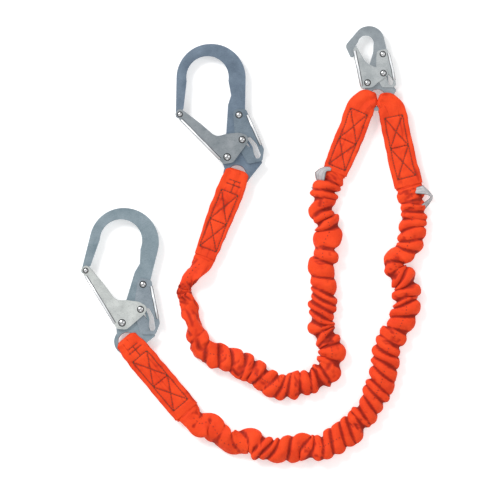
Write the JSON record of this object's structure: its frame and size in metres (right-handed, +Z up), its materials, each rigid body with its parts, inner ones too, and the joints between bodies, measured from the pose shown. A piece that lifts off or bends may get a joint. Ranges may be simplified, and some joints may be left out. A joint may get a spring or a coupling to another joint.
{
  "type": "shock absorbing lanyard",
  "caption": "Twin-leg shock absorbing lanyard with gathered elastic webbing legs, two large locking rebar hooks and a locking snap hook.",
  "frame": {"origin": "on the surface that the lanyard lies on, at the centre of the box round the hooks and sewn ends", "axes": "+Z up from the surface, +Y towards the snap hook, +X to the right of the large hooks"},
  "size_m": [0.5825, 0.7234, 0.0227],
  "materials": {
    "orange_webbing": "woven polyester, satin",
    "core_webbing": "dense flat weave",
    "label_ribbon": "smooth ribbon",
    "forged_steel": "zinc plated, satin",
    "forged_steel_snap": "zinc plated, satin",
    "gate_steel": "zinc plated, satin",
    "rivet_steel": "polished",
    "spring_steel": "drawn wire"
  },
  "bodies": {
    "webbing": {"leg_a_top_end": "orange_webbing", "leg_a_jacket": "orange_webbing", "leg_a_core": "core_webbing", "leg_a_hook_end": "orange_webbing", "leg_a_label": "label_ribbon", "leg_b_top_end": "orange_webbing", "leg_b_jacket": "orange_webbing", "leg_b_core": "core_webbing", "leg_b_hook_end": "orange_webbing", "leg_b_label": "label_ribbon"},
    "hook_a_frame": {"hook_a_body": "forged_steel", "hook_a_gate_rivet": "rivet_steel", "hook_a_lever_rivet": "rivet_steel", "hook_a_gate_spring": "spring_steel"},
    "hook_a_gate_body": {"hook_a_gate": "gate_steel", "hook_a_lock_pin": "rivet_steel", "hook_a_nose_pin": "rivet_steel"},
    "hook_a_lever_body": {"hook_a_lever": "gate_steel", "hook_a_lever_spring": "spring_steel"},
    "hook_b_frame": {"hook_b_body": "forged_steel_snap", "hook_b_gate_rivet": "rivet_steel", "hook_b_lever_rivet": "rivet_steel", "hook_b_gate_spring": "spring_steel"},
    "hook_b_gate_body": {"hook_b_gate": "gate_steel", "hook_b_lock_pin": "rivet_steel", "hook_b_nose_pin": "rivet_steel"},
    "hook_b_lever_body": {"hook_b_lever": "gate_steel", "hook_b_lever_spring": "spring_steel"},
    "snap_frame": {"snap_body": "forged_steel_snap", "snap_gate_rivet": "rivet_steel", "snap_lever_rivet": "rivet_steel", "snap_gate_spring": "spring_steel"},
    "snap_gate_body": {"snap_gate": "gate_steel", "snap_lock_pin": "rivet_steel"},
    "snap_lever_body": {"snap_lever": "gate_steel", "snap_lever_spring": "spring_steel"}
  },
  "joints": [
    {"name": "hook_a_swing", "type": "hinge", "parent": "webbing", "child": "hook_a_frame", "pos_m": [-0.032, 0.082, 0.01135], "axis": [0, 0, 1], "range_deg": [-40, 37]},
    {"name": "hook_a_gate_open", "type": "hinge", "parent": "hook_a_frame", "child": "hook_a_gate_body", "pos_m": [-0.0475, 0.1104, 0.01135], "axis": [0, 0, -1], "range_deg": [0, 38], "stiffness_Nm_per_rad": 0.3, "springref_deg": -28.65},
    {"name": "hook_a_lever_squeeze", "type": "hinge", "parent": "hook_a_frame", "child": "hook_a_lever_body", "pos_m": [-0.0282, 0.1798, 0.01135], "axis": [0, 0, -1], "range_deg": [0, 10], "stiffness_Nm_per_rad": 0.3, "springref_deg": -17.19},
    {"name": "hook_b_swing", "type": "hinge", "parent": "webbing", "child": "hook_b_frame", "pos_m": [-0.212, -0.194, 0.01135], "axis": [0, 0, 1], "range_deg": [-5, 111]},
    {"name": "hook_b_gate_open", "type": "hinge", "parent": "hook_b_frame", "child": "hook_b_gate_body", "pos_m": [-0.22071, -0.16284, 0.01135], "axis": [0, 0, -1], "range_deg": [0, 38], "stiffness_Nm_per_rad": 0.3, "springref_deg": -28.65},
    {"name": "hook_b_lever_squeeze", "type": "hinge", "parent": "hook_b_frame", "child": "hook_b_lever_body", "pos_m": [-0.1863, -0.09956, 0.01135], "axis": [0, 0, -1], "range_deg": [0, 10], "stiffness_Nm_per_rad": 0.3, "springref_deg": -17.19},
    {"name": "snap_swing", "type": "hinge", "parent": "webbing", "child": "snap_frame", "pos_m": [0.2, 0.208, 0.01135], "axis": [0, 0, 1], "range_deg": [-12, 8]},
    {"name": "snap_gate_open", "type": "hinge", "parent": "snap_frame", "child": "snap_gate_body", "pos_m": [0.18379, 0.23289, 0.01135], "axis": [0, 0, -1], "range_deg": [0, 26], "stiffness_Nm_per_rad": 0.15, "springref_deg": -28.65},
    {"name": "snap_lever_squeeze", "type": "hinge", "parent": "snap_frame", "child": "snap_lever_body", "pos_m": [0.20902, 0.28008, 0.01135], "axis": [0, 0, -1], "range_deg": [0, 8], "stiffness_Nm_per_rad": 0.15, "springref_deg": -17.19}
  ],
  "couplings": [
    {"joint": "hook_a_lever_squeeze", "follows": "hook_a_gate_open", "ratio": 0.26},
    {"joint": "hook_b_lever_squeeze", "follows": "hook_b_gate_open", "ratio": 0.26},
    {"joint": "snap_lever_squeeze", "follows": "snap_gate_open", "ratio": 0.3}
  ]
}
